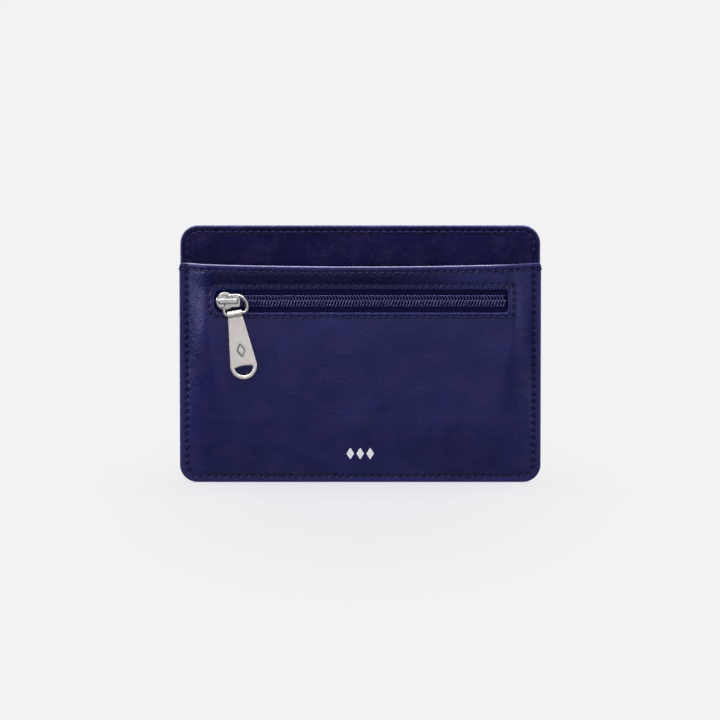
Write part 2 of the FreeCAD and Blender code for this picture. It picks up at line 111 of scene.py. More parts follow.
def rounded(corners, step=6.0):
    """Closed outline through (x, z, radius) corners, anticlockwise, with an arc at each."""
    places = np.array([(x, z) for x, z, _ in corners], float)
    outline = []
    for index, here in enumerate(places):
        radius = corners[index][2]
        back = places[index - 1] - here
        ahead = places[(index + 1) % len(places)] - here
        back /= np.linalg.norm(back)
        ahead /= np.linalg.norm(ahead)
        half = math.acos(np.clip(back @ ahead, -1, 1)) / 2.0
        if radius <= 0:
            outline.append(here)
            continue
        inward = (back + ahead) / np.linalg.norm(back + ahead)
        centre = here + inward * radius / math.sin(half)
        first = here + back * radius / math.tan(half) - centre
        turn = math.pi - 2.0 * half
        side = math.copysign(1.0, back[1] * ahead[0] - back[0] * ahead[1])
        count = max(2, int(math.degrees(turn) / step))
        for k in range(count + 1):
            angle = side * turn * k / count
            c, s = math.cos(angle), math.sin(angle)
            outline.append(centre + np.array([c * first[0] - s * first[1], s * first[0] + c * first[1]]))
    return np.array(outline)


def rectangle(low, high, radius):
    radii = radius if np.ndim(radius) else (radius,) * 4
    return rounded([
        (low[0], low[1], radii[0]), (high[0], low[1], radii[1]),
        (high[0], high[1], radii[2]), (low[0], high[1], radii[3]),
    ])


class Track:
    """A polyline in the XZ plane that knows its length and the way along it."""

    def __init__(self, points, closed):
        points = np.asarray(points, float)
        if closed:
            points = np.vstack([points, points[:1]])
        keep = np.r_[True, np.linalg.norm(np.diff(points, axis=0), axis=1) > 1e-6]
        self.points = points[keep]
        self.closed = closed
        self.runs = np.diff(self.points, axis=0)
        self.sizes = np.linalg.norm(self.runs, axis=1)
        self.starts = np.r_[0.0, np.cumsum(self.sizes)]
        self.length = self.starts[-1]

    def at(self, along):
        """Places and unit directions at distances along the track."""
        along = np.asarray(along, float)
        along = along % self.length if self.closed else np.clip(along, 0.0, self.length)
        run = np.clip(np.searchsorted(self.starts, along, side="right") - 1, 0, len(self.sizes) - 1)
        share = (along - self.starts[run]) / self.sizes[run]
        place = self.points[run] + self.runs[run] * share[:, None]
        return place, self.runs[run] / self.sizes[run][:, None]

    def nearest(self, places):
        """Distance from each place to the track, and how far along it the nearest point is."""
        distance = np.empty(len(places))
        along = np.empty(len(places))
        for first in range(0, len(places), 4000):
            part = places[first:first + 4000]
            offset = part[:, None, :] - self.points[None, :-1, :]
            share = np.clip((offset * self.runs).sum(2) / self.sizes ** 2, 0.0, 1.0)
            gap = np.linalg.norm(offset - share[..., None] * self.runs, axis=2)
            best = gap.argmin(1)
            rows = np.arange(len(part))
            distance[first:first + 4000] = gap[rows, best]
            along[first:first + 4000] = self.starts[best] + share[rows, best] * self.sizes[best]
        return distance, along

    def spaced(self, step):
        count = max(3, int(round(self.length / step)))
        ends = 0 if self.closed else 1
        return self.at(np.arange(count + ends) * self.length / count)[0]


def inside(places, loop):
    """True for the places that lie inside a closed loop."""
    x, z = places[:, 0][:, None], places[:, 1][:, None]
    x0, z0 = loop[:, 0], loop[:, 1]
    x1, z1 = np.roll(x0, -1), np.roll(z0, -1)
    crosses = (z0 > z) != (z1 > z)
    with np.errstate(divide="ignore", invalid="ignore"):
        at_x = x0 + (z - z0) * (x1 - x0) / (z1 - z0)
    return (crosses & (x < at_x)).sum(1) % 2 == 1


def hem_height(x):
    return HEM_Z - HEM_SAG * (1.0 - (x / HALF_WIDTH) ** 2)


def pocket_outline(inset, drop, top_radius):
    """Outline of the front pocket, anticlockwise from its bottom left corner."""
    low, high = -HALF_WIDTH + inset, HALF_WIDTH - inset
    sides = rounded([
        (low, inset, CORNER_RADIUS - inset), (high, inset, CORNER_RADIUS - inset),
        (high, HEM_Z - drop, top_radius), (low, HEM_Z - drop, top_radius),
    ])
    across = np.linspace(high - 2.0 * top_radius - 1.0, low + 2.0 * top_radius + 1.0, 40)
    top = np.stack([across, hem_height(across) - drop], 1)
    top_left = len(sides) // 4 * 3
    return np.vstack([sides[:top_left], top, sides[top_left:]])


def holder_outline(inset):
    return rectangle(COVER_LOW[[0, 2]] + inset, COVER_HIGH[[0, 2]] - inset, CORNER_RADIUS - inset)


# ---- Mesh builders ----

def make_piece(name, node, places, faces, body, material, marks=None, sharp=42.0):
    """Object from places in millimetres, in place of a CAD node. marks are named values per point
    for its material."""
    mesh = bpy.data.meshes.new(name)
    mesh.from_pydata((np.asarray(places) * MM).tolist(), [], faces)
    for mark, values in (marks or {}).items():
        mesh.attributes.new(mark, "FLOAT", "POINT").data.foreach_set("value", np.asarray(values, np.float32))
    mesh.update()
    mesh.shade_smooth()
    mesh.set_sharp_from_angle(angle=math.radians(sharp))
    mesh.materials.append(material)
    piece = bpy.data.objects.new(name, mesh)
    bpy.context.scene.collection.objects.link(piece)
    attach(piece, body)
    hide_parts(node)


def arc_rings(radius, *angles):
    """Distances from an edge rounded to radius that catch its arc at angles in degrees."""
    return tuple(radius * (1.0 - math.cos(math.radians(angle))) for angle in angles)


def roll(distance, radius):
    """How far a surface drops at a distance from an edge rounded to radius."""
    inward = np.clip(radius - distance, 0.0, radius)
    return radius - np.sqrt(radius ** 2 - inward ** 2)


def triangulate(outline, holes, step, edge_step, ring_widths, tracks=()):
    """Triangles over an outline with holes: fine rings along each edge and each stitch line."""
    loops = [Track(loop, True) for loop in (outline, *holes)]
    edges, points = [], []
    for index, loop in enumerate(loops):
        ring = loop.spaced(edge_step)
        first = len(points)
        points += list(ring)
        edges += [(first + k, first + (k + 1) % len(ring)) for k in range(len(ring))]
        ahead = np.roll(ring, -1, 0) - np.roll(ring, 1, 0)
        inward = np.stack([-ahead[:, 1], ahead[:, 0]], 1) / np.linalg.norm(ahead, axis=1)[:, None]
        if index:
            inward = -inward
        loop.rings = [ring + inward * width for width in ring_widths]
    free = [place for loop in loops for ring in loop.rings for place in ring]
    reach = ring_widths[-1] + 0.5 * step
    for track, offsets, spacing in tracks:
        count = int(track.length / spacing)
        ends = 0 if track.closed else 1
        place, ahead = track.at(np.arange(count + ends) * track.length / count)
        side = np.stack([-ahead[:, 1], ahead[:, 0]], 1)
        free += [spot for offset in offsets for spot in place + side * offset]
    low, high = outline.min(0), outline.max(0)
    rows = np.arange(low[1], high[1], step * 0.87)
    grid = np.array([
        (x + (row % 2) * step / 2.0, z)
        for row, z in enumerate(rows) for x in np.arange(low[0], high[0], step)
    ])
    keep = inside(grid, outline)
    for loop in loops:
        keep &= loop.nearest(grid)[0] > reach
    for track, offsets, _ in tracks:
        keep &= track.nearest(grid)[0] > max(offsets) + 0.5 * step
    free = np.array(free)
    kept = inside(free, outline)
    for hole in holes:
        keep &= ~inside(grid, hole)
        kept &= ~inside(free, hole)
    for loop in loops:
        kept &= loop.nearest(free)[0] > 0.6 * ring_widths[0]
    everything = np.vstack([np.array(points), free[kept], grid[keep]])
    places, _, faces, _, _, _ = delaunay_2d_cdt(
        [Vector(place) for place in everything], edges, [], 0, 1e-4
    )
    places = np.array(places)[:, :2]
    faces = np.array([face for face in faces if len(face) == 3])
    middles = places[faces].mean(1)
    wanted = inside(middles, outline)
    for hole in holes:
        wanted &= ~inside(middles, hole)
    return places, faces[wanted], loops


def slab(outline, holes, surfaces, step, edge_step, ring_widths, tracks=()):
    """Closed sheet. surfaces(places, distances) gives the front and back Y of every point, and
    the marks of both; distances holds the distance to the outline and to each hole."""
    places, faces, loops = triangulate(outline, holes, step, edge_step, ring_widths, tracks)
    distances = [loop.nearest(places)[0] for loop in loops]
    front, back, marks = surfaces(places, distances)
    count = len(places)
    solid = np.vstack([
        np.stack([places[:, 0], front, places[:, 1]], 1),
        np.stack([places[:, 0], back, places[:, 1]], 1),
    ])
    sides = {}
    for a, b, c in faces.tolist():
        for pair in ((a, b), (b, c), (c, a)):
            if pair[::-1] in sides:
                del sides[pair[::-1]]
            else:
                sides[pair] = True
    walls = [(b, a, a + count, b + count) for a, b in sides]
    triangles = faces.tolist() + (faces[:, ::-1] + count).tolist() + walls
    doubled = {mark: np.r_[values, values] for mark, values in marks.items()}
    return solid, triangles, doubled


def tube(path, radius, closed=False, sides=8, ripple=None):
    """Tube along 3-D points. radius may vary; ripple(k, angle) scales it around its ring."""
    path = np.asarray(path, float)
    count = len(path)
    radius = np.broadcast_to(np.asarray(radius, float), (count,))
    if closed:
        ahead = np.roll(path, -1, 0) - np.roll(path, 1, 0)
    else:
        ahead = np.gradient(path, axis=0)
    ahead /= np.linalg.norm(ahead, axis=1)[:, None]
    up = np.cross(ahead[0], (0.31, 0.87, 0.38))
    up /= np.linalg.norm(up)
    ups = []
    for way in ahead:
        up = up - way * (up @ way)
        up /= np.linalg.norm(up)
        ups.append(up)
    ups = np.array(ups)
    rights = np.cross(ahead, ups)
    angles = np.arange(sides) * 2.0 * math.pi / sides
    twist = 0.0
    if closed:
        twist = math.atan2(ups[-1] @ rights[0], ups[-1] @ ups[0])
    rings = []
    for k in range(count):
        turned = angles + twist * k / count
        scale = radius[k] * (ripple(k, angles) if ripple else 1.0)
        ring = (np.cos(turned) * scale)[:, None] * ups[k] + (np.sin(turned) * scale)[:, None] * rights[k]
        rings.append(path[k] + ring)
    places = np.vstack(rings)
    faces = []
    for k in range(count if closed else count - 1):
        for s in range(sides):
            a, b = k * sides + s, k * sides + (s + 1) % sides
            c, d = (k + 1) % count * sides + (s + 1) % sides, (k + 1) % count * sides + s
            faces.append((a, b, c, d))
    if not closed:
        faces.append(tuple(range(sides))[::-1])
        faces.append(tuple((count - 1) * sides + s for s in range(sides)))
    return places, faces


def joined(parts):
    """Several (places, faces) as one."""
    places, faces, first = [], [], 0
    for some, those in parts:
        places.append(some)
        faces += [tuple(index + first for index in face) for face in those]
        first += len(some)
    return np.vstack(places), faces


# ---- Materials ----

class Shader:
    """A node material with short calls for what the materials here use."""

    def __init__(self, name):
        self.material = bpy.data.materials.new(name)
        self.material.use_nodes = True
        self.tree = self.material.node_tree
        self.bsdf = self.tree.nodes["Principled BSDF"]
        self.place = self.tree.nodes.new("ShaderNodeTexCoord").outputs["Object"]

    def set(self, **values):
        for name, value in values.items():
            self.bsdf.inputs[name.replace("_", " ")].default_value = value

    def node(self, kind, **inputs):
        node = self.tree.nodes.new(kind)
        for name, value in inputs.items():
            self.feed(node.inputs[name.replace("_", " ")], value)
        return node

    def feed(self, socket, value):
        """Links a socket to another node's output, or sets its value. Colours are red, green, blue."""
        if isinstance(value, bpy.types.NodeSocket):
            self.tree.links.new(value, socket)
        else:
            socket.default_value = (*value, 1.0) if socket.type == "RGBA" else value

    def stretch(self, x, y, z):
        """Object coordinates in millimetres, each axis scaled."""
        node = self.node("ShaderNodeMapping", Vector=self.place)
        node.inputs["Scale"].default_value = (x / MM, y / MM, z / MM)
        return node.outputs[0]

    def noise(self, scale, detail=3.0, where=None, distortion=0.0, roughness=0.5):
        where = where or self.stretch(1, 1, 1)
        return self.node("ShaderNodeTexNoise", Vector=where, Scale=scale, Detail=detail,
                         Distortion=distortion, Roughness=roughness).outputs[0]

    def cells(self, scale):
        node = self.node("ShaderNodeTexVoronoi", Vector=self.stretch(1, 1, 1), Scale=scale)
        return node.outputs["Distance"]

    def along(self, axis, slant):
        """Object position along one axis in millimetres, leaned by slant times height."""
        split = self.node("ShaderNodeSeparateXYZ", Vector=self.stretch(1, 1, 1))
        value = split.outputs[axis]
        if slant:
            value = self.math("ADD", value, self.math("MULTIPLY", split.outputs[2], slant))
        return value

    def ramp(self, value, low, high, start=0.0, end=1.0):
        node = self.node("ShaderNodeMapRange", Value=value, From_Min=low, From_Max=high,
                         To_Min=start, To_Max=end)
        return node.outputs[0]

    def math(self, operation, a, b=0.5):
        node = self.tree.nodes.new("ShaderNodeMath")
        node.operation = operation
        self.feed(node.inputs[0], a)
        self.feed(node.inputs[1], b)
        return node.outputs[0]

    def mix(self, share, first, second, blend="MIX"):
        node = self.tree.nodes.new("ShaderNodeMix")
        node.data_type = "RGBA"
        node.blend_type = blend
        for index, value in ((0, share), (6, first), (7, second)):
            self.feed(node.inputs[index], value)
        return node.outputs[2]

    def mark(self, name):
        node = self.tree.nodes.new("ShaderNodeAttribute")
        node.attribute_name = name
        return node.outputs["Fac"]

    def colour(self, value):
        self.tree.links.new(value, self.bsdf.inputs["Base Color"])

    def rough(self, value):
        self.tree.links.new(value, self.bsdf.inputs["Roughness"])

    def bumps(self, *layers):
        """Bump layers, each (height, strength, distance in mm), one on another."""
        normal = None
        for height, strength, distance in layers:
            node = self.node("ShaderNodeBump", Height=height, Strength=strength, Distance=distance * MM)
            if normal:
                self.tree.links.new(normal, node.inputs["Normal"])
            normal = node.outputs[0]
        self.tree.links.new(normal, self.bsdf.inputs["Normal"])
        return self.material


def leather_material(name, body, deep, violet, rim, gloss, worn):
    """Glazed calf leather: mottled dye, soft creases, fine pores, rubbed edges with a painted highlight,
    painted shade in the seams, a painted shade band under the hem and a painted highlight along the hem's
    fold.
    """
    s = Shader(name)
    broad = s.noise(0.045, 4.0, distortion=0.6)
    cloudy = s.noise(0.11, 5.0, s.stretch(1, 1, 1.3), distortion=0.5)
    fine = s.noise(1.5, 5.0, roughness=0.6)
    creases = s.noise(1.0, 6.0, s.stretch(0.16, 1.0, 0.5), distortion=1.6, roughness=0.62)
    pores = s.cells(2.2)
    colour = s.mix(s.ramp(broad, 0.36, 0.62), body, deep)
    colour = s.mix(s.ramp(cloudy, 0.5, 0.66, 0.0, 0.45), colour, violet)
    colour = s.mix(s.ramp(fine, 0.35, 0.75, 0.0, 0.3), colour, deep)
    lines = s.noise(0.5, 5.0, s.stretch(1.0, 1.0, 0.6), distortion=2.2, roughness=0.7)
    lines = s.ramp(s.math("ABSOLUTE", s.math("SUBTRACT", lines, 0.5)), 0.0, 0.022, 1.0, 0.0)
    lines = s.math("MULTIPLY", lines, s.ramp(cloudy, 0.42, 0.6, 0.0, worn))
    colour = s.mix(lines, colour, rim)
    # Painted shade: the band between the zip and the hem is darkened nearly to black.
    colour = s.mix(s.math("MULTIPLY", s.mark("burnish"), 0.95), colour, (0.0, 0.0, 0.018))
    # Edge paint rubbed paler, with a painted highlight on the rounded edges.
    rubbed_and_highlit_edge = s.math("MULTIPLY", s.mark("edge"), s.ramp(s.noise(0.7, 4.0), 0.35, 0.7, 0.35, 1.0))
    colour = s.mix(rubbed_and_highlit_edge, colour, rim)
    # Painted shade in the seam valleys and stitch holes.
    colour = s.mix(s.mark("seam"), colour, (0.0012, 0.0012, 0.006))
    # Painted highlight: a pale line along the hem's fold.
    colour = s.mix(s.mark("lip"), colour, (0.36, 0.34, 0.46))
    s.colour(colour)
    s.rough(s.ramp(s.math("ADD", cloudy, s.math("MULTIPLY", fine, 0.4)), 0.5, 0.9, 0.24, 0.34))
    s.set(Specular_IOR_Level=gloss, Specular_Tint=(0.52, 0.53, 1.0, 1.0))
    return s.bumps(
        (broad, 0.5, 0.5),
        (creases, 0.6, 0.18),
        (fine, 0.8, 0.09),
        (pores, 0.5, 0.04),
        (s.noise(1.2, 3.0, roughness=0.6), s.mark("pucker"), 0.35),
    )


def woven_material(name, warp, weft, pitch, slant):
    """Close weave: two crossed rows of threads whose tops take turns."""
    s = Shader(name)
    across = s.math("SINE", s.math("MULTIPLY", s.along(0, slant), 2.0 * math.pi / pitch))
    upward = s.math("SINE", s.math("MULTIPLY", s.along(2, 0.0), 2.0 * math.pi / pitch))
    weave = s.math("MULTIPLY", across, upward)
    fuzz = s.noise(3.0, 4.0)
    colour = s.mix(s.ramp(weave, -0.8, 0.8), weft, warp)
    s.colour(s.mix(s.ramp(fuzz, 0.35, 0.7, 0.0, 0.5), colour, weft))
    s.rough(s.ramp(fuzz, 0.3, 0.7, 0.72, 0.88))
    s.set(Specular_IOR_Level=0.2, Specular_Tint=(0.5, 0.5, 1.0, 1.0))
    return s.bumps((weave, 0.7, 0.06), (fuzz, 0.4, 0.03))


def nylon_material():
    """Moulded nylon monofilament, slightly drawn along its length."""
    s = Shader("zip_nylon")
    streak = s.noise(2.0, 3.0, s.stretch(0.6, 2.0, 3.0))
    s.colour(s.mix(s.ramp(streak, 0.3, 0.7), (0.005, 0.005, 0.040), (0.010, 0.010, 0.068)))
    s.rough(s.ramp(streak, 0.3, 0.7, 0.16, 0.28))
    s.set(IOR=1.8, Specular_IOR_Level=1.0, Specular_Tint=(0.42, 0.43, 0.80, 1.0))
    return s.bumps((streak, 0.3, 0.02))


def thread_material(name, first, second):
    """Bonded polyester thread with fibre streaks."""
    s = Shader(name)
    fibre = s.noise(6.0, 3.0)
    s.colour(s.mix(s.ramp(fibre, 0.35, 0.65), first, second))
    s.rough(s.ramp(fibre, 0.3, 0.7, 0.5, 0.7))
    s.set(Specular_IOR_Level=0.35, Specular_Tint=(0.5, 0.5, 1.0, 1.0))
    return s.bumps((fibre, 0.5, 0.02))


def nickel_material(name, low, high, tint, brushed):
    """Plated nickel: soft cloudiness, hairline scratches and fine rubbing lines."""
    s = Shader(name)
    cloud = s.noise(0.5, 4.0)
    lines = s.noise(1.0, 5.0, s.stretch(*((9.0, 3.0, 0.8) if brushed else (2.0, 3.0, 2.0))))
    scratch = s.noise(1.0, 2.0, s.stretch(0.5, 3.0, 6.0), distortion=1.5)
    warm = tuple(0.93 * value for value in tint)
    colour = s.mix(s.ramp(cloud, 0.35, 0.7), tint, warm)
    s.colour(s.mix(s.mark("seam"), colour, (0.03, 0.03, 0.04)))
    s.rough(s.ramp(s.math("ADD", lines, s.math("MULTIPLY", cloud, 0.6)), 0.5, 1.1, low, high))
    s.set(Metallic=1.0)
    return s.bumps((lines, 0.25 if brushed else 0.08, 0.012), (scratch, 0.1, 0.01))


def foil_material():
    """Hot-pressed silver foil, a little broken where the grain shows through."""
    s = Shader("pressed_foil")
    broken = s.noise(5.0, 5.0)
    s.colour(s.mix(s.ramp(broken, 0.3, 0.4), (0.5, 0.5, 0.58), (0.95, 0.95, 0.97)))
    s.rough(s.ramp(broken, 0.3, 0.7, 0.35, 0.55))
    s.set(Metallic=0.35)
    return s.bumps((broken, 0.3, 0.02))


def board_material():
    s = Shader("pressed_board")
    fibre = s.noise(2.5, 6.0)
    s.colour(s.mix(s.ramp(fibre, 0.3, 0.7), (0.24, 0.23, 0.21), (0.36, 0.34, 0.31)))
    s.set(Roughness=0.9)
    return s.bumps((fibre, 0.4, 0.05))


# rim is the pale tone of worn crease lines and of the edges; on the edges it is also a painted highlight.
LEATHER_MATERIAL = leather_material(
    "glazed_leather", body=(0.0092, 0.0108, 0.067), deep=(0.0056, 0.0062, 0.046),
    violet=(0.016, 0.0070, 0.050), rim=(0.05, 0.06, 0.24), gloss=0.5, worn=0.18,
)
FACING_MATERIAL = leather_material(
    "facing_leather", body=(0.0036, 0.0030, 0.036), deep=(0.0018, 0.0014, 0.022),
    violet=(0.007, 0.0032, 0.030), rim=(0.13, 0.13, 0.28), gloss=0.2, worn=0.2,
)
LINING_MATERIAL = woven_material("lining_twill", (0.022, 0.022, 0.06), (0.010, 0.010, 0.03), 0.35, 1.0)
TAPE_MATERIAL = woven_material(
    "zip_tape_weave", warp=(0.0065, 0.0065, 0.050), weft=(0.0028, 0.0028, 0.027), pitch=0.5, slant=0.6
)
NYLON_MATERIAL = nylon_material()
THREAD_MATERIAL = thread_material("seam_thread", (0.006, 0.006, 0.034), (0.014, 0.014, 0.062))
POLISHED_MATERIAL = nickel_material("polished_nickel", 0.14, 0.28, (0.60, 0.585, 0.58), False)
SATIN_MATERIAL = nickel_material("satin_nickel", 0.32, 0.46, (0.96, 0.90, 0.85), True)
FOIL_MATERIAL = foil_material()
BOARD_MATERIAL = board_material()


# ---- Shape of the bulged leather ----

def ease(t):
    t = np.clip(t, 0.0, 1.0)
    return t * t * (3.0 - 2.0 * t)


def swell(t):
    """Profile of a stuffed edge: straight up off the seam, then rounding slowly to flat."""
    t = np.clip(t, 0.0, 1.0)
    past = np.clip(t - RAMP_SHARE, 0.0, 1.0)
    return (2.0 * t - past ** 2 / (1.0 - RAMP_SHARE)) / (1.0 + RAMP_SHARE)


def bulge(x, z):
    """0 on the seams, 1 over the zip. Below the zip it is shallower, with wider shoulders, and
    beside the zip the shoulders lean back a little towards the hem."""
    low = 1.0 - ease((z - SEAM) / (LOWER_TAPE_LOW[2] - SEAM))
    high = ease((z - LOWER_TAPE_LOW[2] + 4.0) / 24.0)
    shoulder = SIDE_SHOULDER * (0.95 + 1.5 * low + 0.45 * high)
    side = swell((HALF_WIDTH - SEAM - np.abs(x)) / shoulder)
    bottom = swell((z - SEAM) / (1.6 * BOTTOM_SHOULDER))
    return side * bottom * (1.0 - LOW_SHALLOWER * low)


SEAM_TRACK = Track(holder_outline(SEAM_INSET), True)
WINDOW_LOOP = rectangle(WINDOW_LOW, WINDOW_HIGH, (3.0, 1.2, 1.2, 3.0))
WINDOW_TRACK = Track(WINDOW_LOOP, True)
WINDOW_SEAM_TRACK = Track(
    rectangle(WINDOW_LOW - WINDOW_SEAM, WINDOW_HIGH + WINDOW_SEAM, (3.4, 1.0, 1.0, 3.4)), True
)
HEM_ACROSS = np.linspace(0.6 - HALF_WIDTH, HALF_WIDTH - 0.6, 60)
HEM_TRACK = Track(np.stack([HEM_ACROSS, hem_height(HEM_ACROSS) - HEM_SEAM_DROP], 1), False)


def waves(x, z):
    """Slow unevenness of hand-worked leather, about -1 to 1."""
    bent_x = x + 7.0 * np.sin(0.071 * z + 1.0) + 3.0 * np.sin(0.19 * z)
    bent_z = z + 6.0 * np.sin(0.063 * x + 2.0) + 3.0 * np.sin(0.17 * x + 0.5)
    return (
        0.5 * np.sin(0.083 * bent_x + 0.9) * np.sin(0.107 * bent_z + 0.4)
        + 0.3 * np.sin(0.171 * bent_x - 0.06 * bent_z + 1.3) * np.sin(0.131 * bent_z + 0.11 * bent_x)
        + 0.2 * np.sin(0.29 * bent_z + 0.23 * bent_x + 2.1) * np.sin(0.27 * bent_x - 0.12 * bent_z)
    )


def stitch_dent(track, places, depth, width, hole):
    """Pull of a seam on the leather, and its painted shade: a valley with a pit at each hole."""
    distance, along = track.nearest(places)
    count = round(track.length / STITCH_PITCH)
    pitch = track.length / count
    off = (along + pitch / 2.0) % pitch - pitch / 2.0
    from_hole = distance ** 2 + off ** 2
    valley = np.exp(-(distance / width) ** 2)
    pinch = 0.72 + 0.28 * np.cos(2.0 * math.pi * along / pitch)
    pit = np.exp(-from_hole / 0.30 ** 2)
    # Painted shade: along the seam's valley, darkest in each hole.
    shade = 0.45 * np.exp(-(distance / 0.8) ** 2) + 0.55 * np.exp(-from_hole / 0.45 ** 2)
    return depth * valley * pinch + hole * pit, shade


def slack(x, z):
    """How far the loose front leather stands forward of the even bulge."""
    places = np.stack([x, z], 1)
    to_window = WINDOW_TRACK.nearest(places)[0]
    clear_of_zip = 1.0 - np.exp(-(to_window / 9.0) ** 2)
    lift = WAVE_HEIGHT * waves(x, z) * clear_of_zip
    side = np.exp(-((np.abs(x) - 65.0) / 3.4) ** 2) * ease((z - 8.0) / 10.0)
    puckers = np.sin(0.61 * z + 2.1 * np.sin(0.17 * z) + 0.4 * x) + 0.6 * np.sin(1.13 * z + 0.7 * x)
    lift += PUCKER_HEIGHT * side * puckers
    mouth = ease((z - (HEM_Z - 11.0)) / 9.0) * (1.0 - 0.8 * ease((x - 15.0) / 40.0))
    return (lift + MOUTH_SLACK * mouth) * bulge(x, z)


def panel_surface(places, holes=True):
    """Front of the front panel: Y, and the seams' shade. Stitches lie on it without its holes."""
    x, z = places[:, 0], places[:, 1]
    y = SEAM_Y - OUTER_RISE * bulge(x, z) - slack(x, z)
    to_window = WINDOW_TRACK.nearest(places)[0]
    y -= 0.10 * np.exp(-((to_window - 0.95) / 0.8) ** 2)
    from_hem = hem_height(x) - z
    y -= 0.08 * np.exp(-((from_hem - 1.2) / 0.9) ** 2)
    shade = np.zeros(len(x))
    hole = 0.34 if holes else 0.0
    for track, depth, width in (
        (SEAM_TRACK, 0.34, 0.85), (WINDOW_SEAM_TRACK, 0.24, 0.7), (HEM_TRACK, 0.26, 0.75),
    ):
        dent, dark = stitch_dent(track, places, depth, width, hole)
        y += dent
        shade = np.maximum(shade, dark)
    return y, np.clip(shade, 0.0, 1.0)


def mouth_shade(x, z):
    """Painted shade on the leather between the zip and the hem, deeper to the left."""
    above_seam = 0.45 + 0.55 * ease((z - (ZIP_Z + 5.6)) / 1.4)
    band = above_seam * ease((z - ZIP_Z) / 3.0) * ease((hem_height(x) - 1.2 - z) / 1.6)
    across = ease((x + 66.0) / 12.0) * (1.0 - ease((x - 8.0) / 42.0))
    return band * across


def painted_hem_highlight(x, z):
    """Painted highlight along the fold of the hem, faint near its right end."""
    line = 0.85 * np.exp(-((hem_height(x) - z) / 0.24) ** 2) * ease((70.0 - np.abs(x)) / 3.0)
    return line * (1.0 - 0.9 * ease((x - 50.0) / 10.0))


def shoulder_grain(x, z):
    """Where the leather is drawn tight beside the side seams its grain stands out."""
    reach = HALF_WIDTH - SEAM - np.abs(x)
    return 0.6 * np.exp(-((reach - 3.0) / 4.0) ** 2) * ease((z - 30.0) / 30.0)


def edge_mark(distances, width=0.55):
    """1 on the nearest edge, fading over a width in millimetres."""
    near = np.minimum.reduce(distances)
    return np.exp(-(near / width) ** 2)


def stitch_rows(*tracks):
    """Rows of mesh points beside each seam, close enough to carry its dents and holes."""
    offsets = (-1.1, -0.7, -0.42, -0.22, 0.0, 0.22, 0.42, 0.7, 1.1)
    return [(track, offsets, STITCH_PITCH / 13.0) for track in tracks]


def build_front_panel():
    """Bulged front leather with rolled edges, turned hem, zip window and pierced seams."""
    def surfaces(places, distances):
        y, shade = panel_surface(places)
        outer, window = distances
        x, z = places[:, 0], places[:, 1]
        fold = 0.85 - 0.6 * ease((z - (HEM_Z - 4.0)) / 2.0)
        front = y + roll(outer, fold) + roll(window, 0.34)
        back = SEAM_Y + LEATHER - OUTER_RISE * bulge(x, z) - slack(x, z)
        turned = ease((z - (hem_height(x) - HEM_TURN)) / 0.8)
        back = back + (TAPE - CLEAR) * turned - roll(outer, 0.25) - roll(window, 0.3)
        # Edge mark: rubbed edge paint with a painted highlight, strongest on the outer edges.
        edge = np.maximum(0.55 * edge_mark([outer]), 0.12 * edge_mark([window]))
        marks = {"edge": edge, "seam": shade, "burnish": mouth_shade(x, z), "lip": painted_hem_highlight(x, z),
                 "pucker": shoulder_grain(x, z)}
        return front, back, marks

    places, faces, marks = slab(
        pocket_outline(0.0, 0.0, TOP_CORNER_RADIUS), [WINDOW_LOOP], surfaces, 0.75, 0.35,
        (*arc_rings(0.85, 22, 38, 54, 70, 90), 1.25), stitch_rows(SEAM_TRACK, WINDOW_SEAM_TRACK, HEM_TRACK),
    )
    make_piece(
        "front_leather", "front_panel", places, faces, "holder", LEATHER_MATERIAL, marks
    )


def build_back_facing():
    """Inner leather of the back, seen above the hem."""
    def surfaces(places, distances):
        x, z = places[:, 0], places[:, 1]
        dent, shade = stitch_dent(SEAM_TRACK, places, 0.26, 0.85, 0.3)
        exposed = ease((z - HEM_Z) / 1.5)
        front = REAR_WALL_Y + roll(distances[0], 0.6) + dent * exposed + 0.05 * waves(1.7 * x, 2.3 * z)
        back = np.full(len(x), FACING_HIGH[1])
        pucker = np.full(len(x), 0.12)
        return front, back, {"edge": edge_mark(distances, 0.4), "seam": shade * exposed, "pucker": pucker}

    places, faces, marks = slab(
        holder_outline(0.0), [], surfaces, 1.4, 0.4,
        (*arc_rings(0.6, 25, 45, 65, 90), 1.0), stitch_rows(SEAM_TRACK),
    )
    make_piece(
        "facing_leather_back", "back_facing", places, faces, "holder", FACING_MATERIAL, marks
    )


def build_back_cover():
    """Outer leather of the back, with a turned edge and a sunk seam."""
    def surfaces(places, distances):
        x, z = places[:, 0], places[:, 1]
        dent, shade = stitch_dent(SEAM_TRACK, places, 0.42, 0.8, 0.3)
        back = COVER_HIGH[1] - roll(distances[0], 0.95) - dent
        board = ease((distances[0] - 4.2) / 2.0)
        gutter = 0.10 * (1.0 - board) * ease((distances[0] - 3.4) / 0.8)
        back = back - gutter - 0.05 * (1.0 + waves(x, z)) * board
        front = np.full(len(x), COVER_LOW[1]) + roll(distances[0], 0.3)
        return front, back, {"edge": edge_mark(distances, 0.8), "seam": shade}

    places, faces, marks = slab(
        holder_outline(0.0), [], surfaces, 1.0, 0.4,
        (*arc_rings(0.95, 22, 38, 54, 70, 90), 1.3), stitch_rows(SEAM_TRACK),
    )
    make_piece("back_leather", "back_cover", places, faces, "holder", LEATHER_MATERIAL, marks)


def build_lining(name, node, outline, low_y, thickness, rise):
    """Fabric sheet that follows the bulge. low_y is its front at the seams."""
    def surfaces(places, distances):
        x, z = places[:, 0], places[:, 1]
        front = low_y - rise * bulge(x, z) + roll(distances[0], 0.4 * thickness)
        back = low_y + thickness - rise * bulge(x, z) - roll(distances[0], 0.4 * thickness)
        return front, back, {}

    places, faces, _ = slab(outline, [], surfaces, 1.6, 0.8, (0.2, 0.8))
    make_piece(name, node, places, faces, "holder", LINING_MATERIAL)


